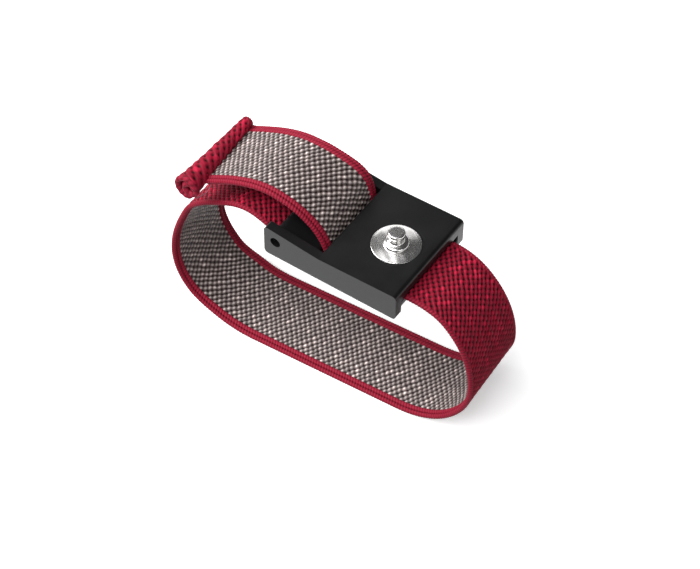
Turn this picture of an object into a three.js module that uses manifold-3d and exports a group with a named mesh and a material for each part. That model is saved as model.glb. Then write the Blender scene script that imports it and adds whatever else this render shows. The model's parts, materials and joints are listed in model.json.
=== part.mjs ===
// Adjustable anti-static wrist strap: a knitted elastic band in a moulded clasp with a snap stud.
//
// Everything is drawn in the clasp's own frame, in millimetres: X runs along the clasp from its hinge
// end to its fixed-band end, Y runs across it, and Z = 0 is the level of the top plate. The finished
// strap is then leaned so that the bottom of the band lies flat on the surface that it stands on.

import * as THREE from 'three';
import { mergeVertices } from 'three/addons/utils/BufferGeometryUtils.js';
import Module from 'manifold-3d';

// ---- driving dimensions -------------------------------------------------------------------------

const FACE_GAP = 0.3;        // between pieces that lie face to face
const RUNNING_GAP = 0.12;    // round the hinge pin

const CLASP_LENGTH = 34.5;
const SIDE_HEIGHT = 6.8;     // of the side walls, below the top plate's level
const WALL = 2.3;
const TOP_PLATE = 2.6;       // thickness of the top plate
const WINDOW_LENGTH = 14.2;  // open stretch between the walls at the hinge end
const EAR_RISE = 0.95;       // how much the walls rise towards the hinge end
const CORNER_RADIUS = 0.8;
const EDGE_BEVEL = 0.4;

const PIN_RADIUS = 1.2;
const PIN_X = 2.75;
const PIN_Z = -2.3;
const PIN_RECESS = 1.7;      // the pin's ends lie this far inside the side faces

const BARREL_RADIUS = 1.9;   // of the lever, round the pin
const LEVER_TIP_RADIUS = 1.0;

const BAND_WIDTH = 19.8;
const BAND_THICKNESS = 1.35;
const BAND_SIDE_GAP = 1.5;   // from each edge of the band to the clasp's wall
const BAND_PAST_STUD = 6.7;  // how far the band's fixed end reaches past the stud
const BAND_STEP = 1.6;       // length of one facet along the band

const STUD_INSET = 8.3;      // from the clasp's fixed-band end to the stud's middle
const STUD_Y = -0.55;        // the stud sits a little off the clasp's middle line
const FLANGE_RADIUS = 5.75;
const FLANGE_THICKNESS = 0.5;
const FLANGE_RECESS = 0.5;
const STUD_BASE_RADIUS = 2.95;
const STUD_NECK_RADIUS = 1.7;
const STUD_HEAD_RADIUS = 2.0;
const STUD_HEIGHT = 3.6;
const RIVET_RADIUS = 1.0;
const RIVET_HEAD_RADIUS = 2.4;
const RIVET_HEAD_HEIGHT = 0.6;

const INSERT_THICKNESS = 1.3;
const PLATE_THICKNESS = 0.6;
const PLATE_MARGIN = 0.9;    // the contact plate is this much smaller than the insert all round

const TAIL_SLANT = 0.11;     // how much shorter the tail is for each millimetre towards its far edge
const ROLL_RADIUS = 1.95;
const ROLL_OVERHANG = 1.2;   // of the roll past the band's two edges, on average
const ROLL_SHIFT = -1.5;     // of the roll along its own axis, from the band's middle line
const ROLL_LIFT = 1.3;       // of the roll's axis above the tail's middle surface, on the grey side
const THREAD_RADIUS = 0.25;
const STITCH_PITCH = 1.9;
const STITCH_REACH = 2.2;    // how far from the roll the thread's far turns lie

const LOOP_DEPTH = 43.1;     // of the band's bottom below the top plate, near the fixed-band end
const LEAN = 8.5;            // degrees that the loop leans back over its flat bottom
const PITCH = 5.1;           // degrees that the clasp dips towards its fixed-band end

// ---- values that follow -------------------------------------------------------------------------

const INNER_HALF = BAND_WIDTH / 2 + BAND_SIDE_GAP;
const CLASP_WIDTH = 2 * (INNER_HALF + WALL);
const STUD_X = CLASP_LENGTH - STUD_INSET;
const FIXED_END_X = STUD_X - BAND_PAST_STUD;
const BOTTOM_START_X = CLASP_LENGTH - 1.5;
const LEVER_UNDERSIDE = PIN_Z - BARREL_RADIUS;
const TIP_Z = LEVER_UNDERSIDE + LEVER_TIP_RADIUS;
const FOLD_RADIUS = LEVER_TIP_RADIUS + FACE_GAP + BAND_THICKNESS / 2;
const TIP_X = WINDOW_LENGTH - FACE_GAP - FOLD_RADIUS - BAND_THICKNESS / 2;
const RUN_Z = TIP_Z - FOLD_RADIUS;
const FIXED_Z = -TOP_PLATE - FACE_GAP - BAND_THICKNESS / 2;
const INSERT_TOP = FIXED_Z - BAND_THICKNESS / 2 - FACE_GAP;
const PLATE_TOP = INSERT_TOP - INSERT_THICKNESS - FACE_GAP;
const RIVET_HEAD_TOP = PLATE_TOP - PLATE_THICKNESS - FACE_GAP;
const FLANGE_BOTTOM = FACE_GAP - FLANGE_RECESS;
const STUD_BOTTOM = FLANGE_BOTTOM + FLANGE_THICKNESS + FACE_GAP;
const STUD_TOP = STUD_BOTTOM + STUD_HEIGHT;

// The band's middle surface, seen from the side: [x, z, heading, roll]. Between two stations it runs in
// an arc. The heading is in degrees from +X towards +Z. The roll, in degrees, moves the band's far edge
// towards its grey face.
const LOOP_STATIONS = [
  [FIXED_END_X, FIXED_Z, 0, 0],
  [CLASP_LENGTH + 1.5, FIXED_Z, 0, 0],
  [CLASP_LENGTH + 10, -6.4, -40, 2.5],
  [CLASP_LENGTH + 17.7, -24, -90, 1],
  [CLASP_LENGTH + 11.4, -37.4, -133, 5],
  [BOTTOM_START_X, bottomAt(BOTTOM_START_X), -180 + PITCH, LEAN],
  [-8, bottomAt(-8), -180 + PITCH, LEAN],
  [-17.9, -45.8, -199, 7],
  [-25.9, -42.0, -226, 4],
  [-30.4, -31.0, -270, 1],
  [-26.1, -14.2, -294, 0],
  [-14.1, -3.9, -331, 0],
  [-8.2, -2.1, -358, 0],
  [-2.4, -3.6, -384, 0],
  [PIN_X, RUN_Z, -360, 0],
  [TIP_X - FACE_GAP, RUN_Z, -360, 0],
];
const FOLD_TURN = 100;       // degrees of the band's turn round the lever's tip
const TAIL_TURN = FOLD_TURN + THREE.MathUtils.radToDeg(FACE_GAP / FOLD_RADIUS);
const TAIL_STATIONS = [
  [...foldPoint(TAIL_TURN), TAIL_TURN, 0],
  [9.4, 4.3, 142, 6.5],
  [3.0, 7.2, 166, 3.5],
  [-2.0, 7.7, 182, 2],
  [-11.75, 4.95, 205, 2.5],
  [-20.3, 0.25, 209, 3.5],
];

// ---- materials ----------------------------------------------------------------------------------

const finishes = {
  moulding: { color: 0x1b1b1c, roughness: 0.55, metalness: 0 },
  nickel: { color: 0xc9cbce, roughness: 0.18, metalness: 1 },
  steel: { color: 0xa9abad, roughness: 0.3, metalness: 1 },
  knit: { color: 0x8c1d36, roughness: 0.9, metalness: 0 },
  thread: { color: 0x7a1730, roughness: 0.9, metalness: 0 },
};

// ---- solids -------------------------------------------------------------------------------------

const wasm = await Module();
wasm.setup();

function toSolid(geometry) {
  const bare = geometry.index ? geometry.clone() : geometry;
  bare.deleteAttribute('normal');
  bare.deleteAttribute('uv');
  const merged = mergeVertices(bare, 1e-5);
  return new wasm.Manifold(new wasm.Mesh({
    numProp: 3,
    vertProperties: new Float32Array(merged.attributes.position.array),
    triVerts: new Uint32Array(merged.index.array),
  }));
}

function fromSolid(solid) {
  const mesh = solid.getMesh();
  const geometry = new THREE.BufferGeometry();
  geometry.setAttribute('position', new THREE.BufferAttribute(mesh.vertProperties, 3));
  geometry.setIndex(new THREE.BufferAttribute(mesh.triVerts, 1));
  return geometry;
}

function cut(geometry, tools) {
  return fromSolid(tools.reduce((solid, tool) => solid.subtract(toSolid(tool)), toSolid(geometry)));
}

// A box between two corners.
function block(low, high) {
  const size = high.map((value, i) => value - low[i]);
  const middle = high.map((value, i) => (value + low[i]) / 2);
  return new THREE.BoxGeometry(...size).translate(...middle);
}

// A round bar along Y, or along Z where upright is true.
function bar(radius, length, [x, y, z], upright = false) {
  const geometry = new THREE.CylinderGeometry(radius, radius, length, 32);
  if (upright) geometry.rotateX(Math.PI / 2);
  return geometry.translate(x, y, z);
}

// A profile of Vector2 (radius, height) turned about the upright line through the stud.
function turned(profile) {
  return new THREE.LatheGeometry(profile, 48).rotateX(Math.PI / 2).translate(STUD_X, STUD_Y, 0);
}

// A side view, drawn in X and Z, given a width along Y. The bevel rounds its side edges.
function fromSideView(shape, width, bevel = 0) {
  const geometry = new THREE.ExtrudeGeometry(shape, {
    depth: width - 2 * bevel,
    bevelEnabled: bevel > 0,
    bevelThickness: bevel,
    bevelSize: bevel,
    bevelOffset: -bevel,
    bevelSegments: 3,
    curveSegments: 16,
  });
  return geometry.translate(0, 0, bevel - width / 2).rotateX(Math.PI / 2);
}

// A closed outline through corners [x, y], each rounded by a radius.
function roundedOutline(corners, radius) {
  const shape = new THREE.Shape();
  corners.forEach((corner, i) => {
    const here = new THREE.Vector2(...corner);
    const before = new THREE.Vector2(...corners.at(i - 1));
    const after = new THREE.Vector2(...corners[(i + 1) % corners.length]);
    const start = before.sub(here).setLength(radius).add(here);
    const end = after.sub(here).setLength(radius).add(here);
    if (i === 0) shape.moveTo(start.x, start.y);
    else shape.lineTo(start.x, start.y);
    shape.quadraticCurveTo(here.x, here.y, end.x, end.y);
  });
  shape.closePath();
  return shape;
}

// ---- the band -----------------------------------------------------------------------------------

// The level of the flat bottom of the loop, which lies along the surface that the strap stands on.
function bottomAt(x) {
  return -LOOP_DEPTH - (BOTTOM_START_X - x) * Math.tan(THREE.MathUtils.degToRad(PITCH));
}

// Where the band's middle surface is, after it has turned this many degrees round the lever's tip.
function foldPoint(turn) {
  const angle = THREE.MathUtils.degToRad(turn);
  return [TIP_X + FOLD_RADIUS * Math.sin(angle), TIP_Z - FOLD_RADIUS * Math.cos(angle)];
}

// One arc between two stations. The handles make a cubic curve follow a circle's arc.
function arcBetween([x0, z0, from], [x1, z1, to]) {
  const chord = Math.hypot(x1 - x0, z1 - z0);
  const [a, b] = [from, to].map(THREE.MathUtils.degToRad);
  const handle = chord / (3 * Math.cos((b - a) / 4) ** 2);
  return new THREE.CubicBezierCurve(
    new THREE.Vector2(x0, z0),
    new THREE.Vector2(x0 + handle * Math.cos(a), z0 + handle * Math.sin(a)),
    new THREE.Vector2(x1 - handle * Math.cos(b), z1 - handle * Math.sin(b)),
    new THREE.Vector2(x1, z1),
  );
}

// The band's own axes at a point of its middle surface: ahead, across, and out of its burgundy face.
function bandFrame(point, tangent, rollDegrees) {
  const ahead = new THREE.Vector3(tangent.x, 0, tangent.y);
  const across = new THREE.Vector3(0, 1, 0).applyAxisAngle(ahead, -THREE.MathUtils.degToRad(rollDegrees));
  const outward = new THREE.Vector3().crossVectors(ahead, across);
  return (a, y, out) => new THREE.Vector3(point.x, 0, point.y)
    .addScaledVector(ahead, a)
    .addScaledVector(across, y)
    .addScaledVector(outward, out);
}

// How far a slanted end lies back along the band, at a distance from the band's middle line.
function setBack(slant, y) {
  return slant * (y + BAND_WIDTH / 2);
}

// A flat strip, bent so that its middle surface follows the stations. Its last end may be slanted.
function strip(stations, slant = 0) {
  const arcs = stations.slice(1).map((station, i) => arcBetween(stations[i], station));
  const lengths = arcs.map((arc) => arc.getLength());
  const total = lengths.reduce((sum, length) => sum + length, 0);
  const steps = Math.ceil(total / BAND_STEP);
  const geometry = new THREE.BoxGeometry(total, BAND_WIDTH, BAND_THICKNESS, steps, 1, 1);
  const position = geometry.attributes.position;
  for (let v = 0; v < position.count; v++) {
    let along = THREE.MathUtils.clamp(position.getX(v) + total / 2, 0, total);
    along -= setBack(slant, position.getY(v)) * THREE.MathUtils.smoothstep(along, 0, total);
    let i = 0;
    while (i < arcs.length - 1 && along > lengths[i]) {
      along -= lengths[i];
      i += 1;
    }
    const t = Math.min(along / lengths[i], 1);
    const point = arcs[i].getPointAt(t);
    const tangent = arcs[i].getTangentAt(t);
    const ease = THREE.MathUtils.smoothstep(t, 0, 1);
    const roll = THREE.MathUtils.lerp(stations[i][3], stations[i + 1][3], ease);
    const place = bandFrame(point, tangent, roll)(0, position.getY(v), position.getZ(v));
    position.setXYZ(v, place.x, place.y, place.z);
  }
  return geometry;
}

function bandLoop() {
  const rivetHole = bar(RIVET_RADIUS + FACE_GAP, 4 * BAND_THICKNESS, [STUD_X, STUD_Y, FIXED_Z], true);
  return cut(strip(LOOP_STATIONS), [rivetHole]);
}

function bandFold() {
  const turns = [0, FOLD_TURN / 2, FOLD_TURN];
  return strip(turns.map((turn) => [...foldPoint(turn), turn, 0]));
}

// The band's axes where the tail ends, measured from its slanted end.
function tailEnd() {
  const [x, z, heading, roll] = TAIL_STATIONS.at(-1);
  const angle = THREE.MathUtils.degToRad(heading);
  const at = bandFrame(new THREE.Vector2(x, z), new THREE.Vector2(Math.cos(angle), Math.sin(angle)), roll);
  return (a, y, out) => at(a - setBack(TAIL_SLANT, y), y, out);
}

// The band's rolled end, as a bar that lies close to the upper edge of the tail's end.
function tailRoll() {
  const at = tailEnd();
  const aboveEdge = ROLL_LIFT - BAND_THICKNESS / 2;
  const middle = at(Math.sqrt((ROLL_RADIUS + FACE_GAP) ** 2 - aboveEdge ** 2), ROLL_SHIFT, -ROLL_LIFT);
  const across = at(0, 1, 0).sub(at(0, 0, 0)).normalize();
  return bar(ROLL_RADIUS, BAND_WIDTH + 2 * ROLL_OVERHANG, [0, 0, 0])
    .applyQuaternion(new THREE.Quaternion().setFromUnitVectors(new THREE.Vector3(0, 1, 0), across))
    .translate(middle.x, middle.y, middle.z);
}

// A zigzag thread under the tail, close to the roll that it holds.
function rollStitching() {
  const at = tailEnd();
  const under = BAND_THICKNESS / 2 + FACE_GAP + THREAD_RADIUS;
  const stitches = Math.floor(BAND_WIDTH / STITCH_PITCH) - 1;
  const points = [];
  for (let i = 0; i <= 2 * stitches; i++) {
    points.push(at(i % 2 ? -STITCH_REACH : -STITCH_REACH / 2, (i - stitches) * STITCH_PITCH / 2, under));
  }
  const section = new THREE.Shape().absarc(0, 0, THREAD_RADIUS, 0, 2 * Math.PI);
  return new THREE.ExtrudeGeometry(section, {
    extrudePath: new THREE.CatmullRomCurve3(points),
    steps: 6 * stitches,
    curveSegments: 3,
  });
}

// ---- the clasp ----------------------------------------------------------------------------------

function housing() {
  const sideView = roundedOutline([
    [0, EAR_RISE],
    [0, -SIDE_HEIGHT],
    [CLASP_LENGTH, -SIDE_HEIGHT],
    [CLASP_LENGTH, 0],
    [WINDOW_LENGTH, 0],
  ], CORNER_RADIUS);
  const past = 1;
  const window = block(
    [-past, -INNER_HALF, -SIDE_HEIGHT - past],
    [WINDOW_LENGTH, INNER_HALF, EAR_RISE + past],
  );
  const channel = block(
    [WINDOW_LENGTH - past, -INNER_HALF, -SIDE_HEIGHT - past],
    [CLASP_LENGTH + past, INNER_HALF, -TOP_PLATE],
  );
  return cut(fromSideView(sideView, CLASP_WIDTH, EDGE_BEVEL), [
    window,
    channel,
    bar(PIN_RADIUS + RUNNING_GAP, CLASP_WIDTH + 2 * past, [PIN_X, 0, PIN_Z]),
    bar(FLANGE_RADIUS + FACE_GAP, 2 * FLANGE_RECESS, [STUD_X, STUD_Y, 0], true),
    bar(RIVET_RADIUS + FACE_GAP, 3 * TOP_PLATE, [STUD_X, STUD_Y, 0], true),
  ]);
}

// A cam: a barrel round the pin and a rounded tip, joined by the two lines that touch both.
function clampLever() {
  const spread = Math.hypot(TIP_X - PIN_X, TIP_Z - PIN_Z);
  const slope = Math.atan2(TIP_Z - PIN_Z, TIP_X - PIN_X);
  const touch = Math.acos((BARREL_RADIUS - LEVER_TIP_RADIUS) / spread);
  const sideView = new THREE.Shape();
  sideView.absarc(PIN_X, PIN_Z, BARREL_RADIUS, slope + touch, slope - touch + 2 * Math.PI, false);
  sideView.absarc(TIP_X, TIP_Z, LEVER_TIP_RADIUS, slope - touch, slope + touch, false);
  sideView.closePath();
  const width = 2 * (INNER_HALF - FACE_GAP);
  return cut(fromSideView(sideView, width), [bar(PIN_RADIUS + RUNNING_GAP, 2 * width, [PIN_X, 0, PIN_Z])]);
}

function hingePin() {
  return bar(PIN_RADIUS, CLASP_WIDTH - 2 * PIN_RECESS, [PIN_X, 0, PIN_Z]);
}

function rivetHoleThrough(z) {
  return bar(RIVET_RADIUS + FACE_GAP, 4, [STUD_X, STUD_Y, z], true);
}

function baseInsert() {
  const low = [WINDOW_LENGTH + FACE_GAP, FACE_GAP - INNER_HALF, INSERT_TOP - INSERT_THICKNESS];
  const high = [CLASP_LENGTH - FACE_GAP, INNER_HALF - FACE_GAP, INSERT_TOP];
  return cut(block(low, high), [rivetHoleThrough(INSERT_TOP)]);
}

function contactPlate() {
  const left = WINDOW_LENGTH + FACE_GAP + PLATE_MARGIN;
  const right = CLASP_LENGTH - FACE_GAP - PLATE_MARGIN;
  const half = INNER_HALF - FACE_GAP - PLATE_MARGIN;
  const outline = roundedOutline([[left, half], [left, -half], [right, -half], [right, half]], 1.5);
  const sheet = new THREE.ExtrudeGeometry(outline, { depth: PLATE_THICKNESS, bevelEnabled: false });
  return cut(sheet.translate(0, 0, PLATE_TOP - PLATE_THICKNESS), [rivetHoleThrough(PLATE_TOP)]);
}

// ---- the snap -----------------------------------------------------------------------------------

// A pressed disc with a raised rim round its edge.
function snapFlange() {
  const hole = RIVET_RADIUS + FACE_GAP;
  const rim = 0.45;
  const top = FLANGE_BOTTOM + FLANGE_THICKNESS;
  return turned([
    [hole, FLANGE_BOTTOM],
    [FLANGE_RADIUS - 0.15, FLANGE_BOTTOM],
    [FLANGE_RADIUS, FLANGE_BOTTOM + 0.2],
    [FLANGE_RADIUS, top],
    [FLANGE_RADIUS - rim / 2, top + 0.15],
    [FLANGE_RADIUS - rim, top],
    [FLANGE_RADIUS - 2 * rim, top - 0.1],
    [STUD_BASE_RADIUS, top],
    [hole, top],
    [hole, FLANGE_BOTTOM],
  ].map((pair) => new THREE.Vector2(...pair)));
}

// The stud is hollow, so that the rivet can be spread inside it.
function snapStud() {
  const bore = RIVET_RADIUS + FACE_GAP;
  const roof = 0.5;
  const headMiddle = STUD_TOP - 1.1;
  return turned([
    [0, STUD_TOP - roof],
    [bore - 0.3, STUD_TOP - roof],
    [bore, STUD_TOP - roof - 0.3],
    [bore, STUD_BOTTOM],
    [STUD_BASE_RADIUS, STUD_BOTTOM],
    [STUD_BASE_RADIUS, STUD_BOTTOM + 0.35],
    [STUD_BASE_RADIUS - 0.35, STUD_BOTTOM + 0.7],
    [STUD_NECK_RADIUS + 0.3, STUD_BOTTOM + 0.85],
    [STUD_NECK_RADIUS, STUD_BOTTOM + 1.2],
    [STUD_NECK_RADIUS, headMiddle - 0.5],
    [STUD_HEAD_RADIUS - 0.1, headMiddle - 0.2],
    [STUD_HEAD_RADIUS, headMiddle + 0.15],
    [STUD_HEAD_RADIUS - 0.05, headMiddle + 0.6],
    [STUD_HEAD_RADIUS - 0.25, headMiddle + 0.95],
    [STUD_HEAD_RADIUS - 0.6, STUD_TOP],
    [0, STUD_TOP],
  ].map((pair) => new THREE.Vector2(...pair)));
}

function snapRivet() {
  const top = STUD_TOP - 0.5 - FACE_GAP;
  return turned([
    [0, RIVET_HEAD_TOP - RIVET_HEAD_HEIGHT],
    [RIVET_HEAD_RADIUS - 0.5, RIVET_HEAD_TOP - RIVET_HEAD_HEIGHT],
    [RIVET_HEAD_RADIUS, RIVET_HEAD_TOP - 0.15],
    [RIVET_HEAD_RADIUS, RIVET_HEAD_TOP],
    [RIVET_RADIUS, RIVET_HEAD_TOP],
    [RIVET_RADIUS, top - 0.2],
    [RIVET_RADIUS - 0.2, top],
    [0, top],
  ].map((pair) => new THREE.Vector2(...pair)));
}

// ---- assembly -----------------------------------------------------------------------------------

const pieces = {
  clasp_housing: [housing(), 'moulding'],
  clamp_lever: [clampLever(), 'moulding'],
  hinge_pin: [hingePin(), 'steel'],
  base_insert: [baseInsert(), 'moulding'],
  contact_plate: [contactPlate(), 'steel'],
  snap_flange: [snapFlange(), 'nickel'],
  snap_stud: [snapStud(), 'nickel'],
  snap_rivet: [snapRivet(), 'nickel'],
  band_loop: [bandLoop(), 'knit'],
  band_fold: [bandFold(), 'knit'],
  band_tail: [strip(TAIL_STATIONS, TAIL_SLANT), 'knit'],
  tail_end_roll: [tailRoll(), 'knit'],
  roll_stitching: [rollStitching(), 'thread'],
};

// The strap leans back and dips, so that the loop's straight bottom is level.
const strap = new THREE.Group();
strap.rotation.set(-THREE.MathUtils.degToRad(LEAN), THREE.MathUtils.degToRad(PITCH), 0, 'XYZ');
for (const [name, [geometry, finish]] of Object.entries(pieces)) {
  const mesh = new THREE.Mesh(geometry, new THREE.MeshStandardMaterial(finishes[finish]));
  mesh.name = name;
  strap.add(mesh);
}

// The origin is the middle of the bottom of the whole strap's box.
strap.updateMatrixWorld(true);
const bounds = new THREE.Box3().setFromObject(strap, true);
const middle = bounds.getCenter(new THREE.Vector3());
strap.position.set(-middle.x, -middle.y, -bounds.min.z);

const part = new THREE.Group();
part.add(strap);

export default part;
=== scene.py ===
"""An adjustable anti-static wrist strap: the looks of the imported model.

Lengths are in millimetres in the clasp's own axes, as in the CAD source, unless a name says otherwise:
X runs along the clasp from its hinge end, Y across it, and Z = 0 is the level of its top plate.
"""

import json
import math

import bmesh
import bpy
import numpy as np
from mathutils import Matrix, Vector


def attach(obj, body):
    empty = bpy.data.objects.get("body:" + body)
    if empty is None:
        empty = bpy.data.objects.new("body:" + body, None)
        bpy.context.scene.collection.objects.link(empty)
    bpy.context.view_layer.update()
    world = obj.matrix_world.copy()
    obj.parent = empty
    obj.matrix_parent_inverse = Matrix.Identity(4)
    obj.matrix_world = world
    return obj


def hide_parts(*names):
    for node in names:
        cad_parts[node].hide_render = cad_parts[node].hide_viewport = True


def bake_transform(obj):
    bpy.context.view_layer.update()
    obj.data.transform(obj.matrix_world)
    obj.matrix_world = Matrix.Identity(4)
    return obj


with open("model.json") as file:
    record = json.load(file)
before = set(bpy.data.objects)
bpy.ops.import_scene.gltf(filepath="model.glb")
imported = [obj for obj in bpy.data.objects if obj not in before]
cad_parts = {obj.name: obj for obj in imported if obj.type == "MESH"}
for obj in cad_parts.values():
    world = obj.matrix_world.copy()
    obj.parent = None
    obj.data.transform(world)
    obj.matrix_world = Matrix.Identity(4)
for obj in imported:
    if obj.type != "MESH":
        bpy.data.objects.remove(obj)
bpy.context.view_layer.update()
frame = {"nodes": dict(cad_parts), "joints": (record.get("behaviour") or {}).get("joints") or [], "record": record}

# ---- the clasp's axes, from the frame -----------------------------------------------------------

MM = 0.001
PIN_X, PIN_Z = 2.75, -2.3
HINGE = frame["joints"][0]
UP = Vector(next(m for m in frame["record"]["mounts"] if m["name"] == "clasp_top")["axis"]).normalized()
ACROSS = -Vector(HINGE["axis"]).normalized()
AHEAD = ACROSS.cross(UP).normalized()
ORIGIN = Vector(HINGE["pos_m"]) - AHEAD * PIN_X * MM - UP * PIN_Z * MM
AXES = np.array([AHEAD, ACROSS, UP])


def to_row(points):
    """Points in the clasp's axes, in millimetres, as points of the row frame, in metres."""
    return np.array(ORIGIN) + np.asarray(points, float) * MM @ AXES


# ---- sizes --------------------------------------------------------------------------------------

FACE_GAP = 0.3
CLASP_LENGTH, CLASP_WIDTH, SIDE_HEIGHT = 34.5, 27.4, 6.8
WALL, TOP_PLATE, WINDOW_LENGTH, EAR_RISE = 2.3, 2.6, 14.2, 0.95
INNER_HALF = CLASP_WIDTH / 2 - WALL
PIN_RADIUS, PIN_RECESS, RUNNING_GAP = 1.2, 1.7, 0.12
BARREL_RADIUS, LEVER_TIP_RADIUS = 1.9, 1.0
BAND_WIDTH, BAND_THICKNESS = 19.8, 1.35
BAND_PAST_STUD = 6.7            # how far the band's fixed end reaches past the stud
STUD_X, STUD_Y, STUD_HEIGHT, STUD_BASE_RADIUS, STUD_HEAD_RADIUS = 26.2, -0.55, 3.6, 2.95, 2.0
FLANGE_RADIUS, FLANGE_THICKNESS, FLANGE_RECESS = 5.75, 0.5, 0.5
STUD_PLACE = (STUD_X, STUD_Y)
RIVET_RADIUS = 1.0
RIVET_BORE = RIVET_RADIUS + FACE_GAP
PIN_BORE = PIN_RADIUS + RUNNING_GAP
LOOP_DEPTH = 43.1               # of the loop's flat bottom below the top plate, near the fixed-band end
LEAN, PITCH = 8.5, 5.1          # degrees: the loop leans back, and the clasp dips
STITCH_PITCH, STITCH_REACH = 1.9, 2.2   # of the seam's zigzag, across the tail and along it

TIP_Z = PIN_Z - BARREL_RADIUS + LEVER_TIP_RADIUS
FOLD_RADIUS = LEVER_TIP_RADIUS + FACE_GAP + BAND_THICKNESS / 2
TIP_X = WINDOW_LENGTH - FACE_GAP - FOLD_RADIUS - BAND_THICKNESS / 2
RUN_Z = TIP_Z - FOLD_RADIUS
FIXED_END_X, FIXED_Z = STUD_X - BAND_PAST_STUD, -TOP_PLATE - FACE_GAP - BAND_THICKNESS / 2
BOTTOM_START_X = CLASP_LENGTH - 1.5
FOLD_TURN = 100                 # degrees of the band's turn round the lever's tip
TAIL_TURN = FOLD_TURN + math.degrees(FACE_GAP / FOLD_RADIUS)


def bottom_at(x):
    """The level of the loop's flat bottom."""
    return -LOOP_DEPTH - (BOTTOM_START_X - x) * math.tan(math.radians(PITCH))


def fold_point(turn):
    """The band's middle surface, after it has turned this many degrees round the lever's tip."""
    angle = math.radians(turn)
    return TIP_X + FOLD_RADIUS * math.sin(angle), TIP_Z - FOLD_RADIUS * math.cos(angle)


# (x, z, heading, roll) along the band's middle surface, as in the CAD source, in millimetres and degrees
LOOP_STATIONS = [
    (FIXED_END_X, FIXED_Z, 0, 0),
    (CLASP_LENGTH + 1.5, FIXED_Z, 0, 0),
    (CLASP_LENGTH + 10, -6.4, -40, 2.5),
    (CLASP_LENGTH + 17.7, -24, -90, 1),
    (CLASP_LENGTH + 11.4, -37.4, -133, 5),
    (BOTTOM_START_X, bottom_at(BOTTOM_START_X), -180 + PITCH, LEAN),
    (-8, bottom_at(-8), -180 + PITCH, LEAN),
    (-17.9, -45.8, -199, 7),
    (-25.9, -42, -226, 4),
    (-30.4, -31, -270, 1),
    (-26.1, -14.2, -294, 0),
    (-14.1, -3.9, -331, 0),
    (-8.2, -2.1, -358, 0),
    (-2.4, -3.6, -384, 0),
]
UNDER_STATIONS = [
    LOOP_STATIONS[-1],
    (PIN_X, RUN_Z, -360, 0),
    (TIP_X - FACE_GAP, RUN_Z, -360, 0),
]
BAND_DRIFT = 0.8                # how far the band has crept to the clasp's far wall, at the lever's tip
DRIFT_SPREAD = 0.035            # how much wider the band lies there, as a share of its width
DRIFT_REACH = 20                # the length of tail over which both fade out
TAIL_SLANT = 0.11               # how much shorter the tail is for each millimetre towards its far edge
FOLD_STATIONS = [(*fold_point(turn), turn, 0) for turn in (0, FOLD_TURN / 2, FOLD_TURN)]
TAIL_STATIONS = [
    (*fold_point(TAIL_TURN), TAIL_TURN, 0),
    (9.4, 4.3, 142, 6.5),
    (3, 7.2, 166, 3.5),
    (-2, 7.7, 182, 2),
    (-11.75, 4.95, 205, 2.5),
    (-20.3, 0.25, 209, 3.5),
]


# ---- mesh helpers -------------------------------------------------------------------------------

def add_mesh(name, points, faces, smooth=True):
    """A mesh object from points in the clasp's axes."""
    mesh = bpy.data.meshes.new(name)
    mesh.from_pydata(to_row(points).tolist(), [], faces)
    mesh.polygons.foreach_set("use_smooth", [smooth] * len(mesh.polygons))
    mesh.update()
    piece = bpy.data.objects.new(name, mesh)
    bpy.context.scene.collection.objects.link(piece)
    return piece


def set_floats(piece, name, values):
    """A number for each point, which a material reads by name."""
    layer = piece.data.attributes.new(name, "FLOAT", "POINT")
    layer.data.foreach_set("value", np.asarray(values, np.float32).ravel())


def set_uv(piece, uv):
    """A texture coordinate for each point."""
    loops = np.zeros(len(piece.data.loops), np.int32)
    piece.data.loops.foreach_get("vertex_index", loops)
    layer = piece.data.uv_layers.new(name="cloth")
    layer.data.foreach_set("uv", np.asarray(uv, np.float32)[loops].ravel())


def sweep(name, rings):
    """A closed tube through rings of points, shape (steps, ring, 3), with flat ends."""
    steps, around = rings.shape[:2]
    index = np.arange(steps * around).reshape(steps, around)
    after = np.roll(index, -1, axis=1)
    quads = np.stack([index[:-1], after[:-1], after[1:], index[1:]], axis=-1).reshape(-1, 4)
    middle = rings.mean(axis=1)
    low, high = rings[:-1] - middle[:-1, None], np.roll(rings, -1, axis=1)[:-1] - middle[:-1, None]
    turn = np.einsum("srk,sk->s", np.cross(low, high), middle[1:] - middle[:-1]).sum()
    faces = quads.tolist() + [index[0, ::-1].tolist(), index[-1].tolist()]
    if turn < 0:
        faces = [face[::-1] for face in faces]
    return add_mesh(name, rings.reshape(-1, 3), faces)


def turned(name, profile, middle, segments, wavy=0.0):
    """A profile of (radius, height) pairs, from axis to axis, turned about the upright line there.

    wavy is the height of the slight unevenness of a pressed sheet.
    """
    points, rows = [], []
    for radius, height in profile:
        if radius < 1e-6:
            rows.append([len(points)] * segments)
            points.append((middle[0], middle[1], height))
            continue
        rows.append(list(range(len(points), len(points) + segments)))
        for i in range(segments):
            angle = 2 * math.pi * i / segments
            x, y = middle[0] + radius * math.cos(angle), middle[1] + radius * math.sin(angle)
            points.append((x, y, height))
    faces = []
    for low, high in zip(rows, rows[1:]):
        for i in range(segments):
            j = (i + 1) % segments
            corners = [low[i], low[j], high[j], high[i]]
            faces.append([c for k, c in enumerate(corners) if c != corners[k - 1]])
    points = np.array(points, float)
    if wavy:
        x, y = points[:, 0] - middle[0], points[:, 1] - middle[1]
        swing = np.sin(1.1 * x + 0.6) * np.cos(0.9 * y - 0.4) + 0.5 * np.sin(2.3 * y + 1.7 * x)
        points[:, 2] += wavy * swing * np.clip(np.hypot(x, y) / 3, 0, 1)
    piece = add_mesh(name, points, faces)
    face_out(piece)
    return piece


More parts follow.
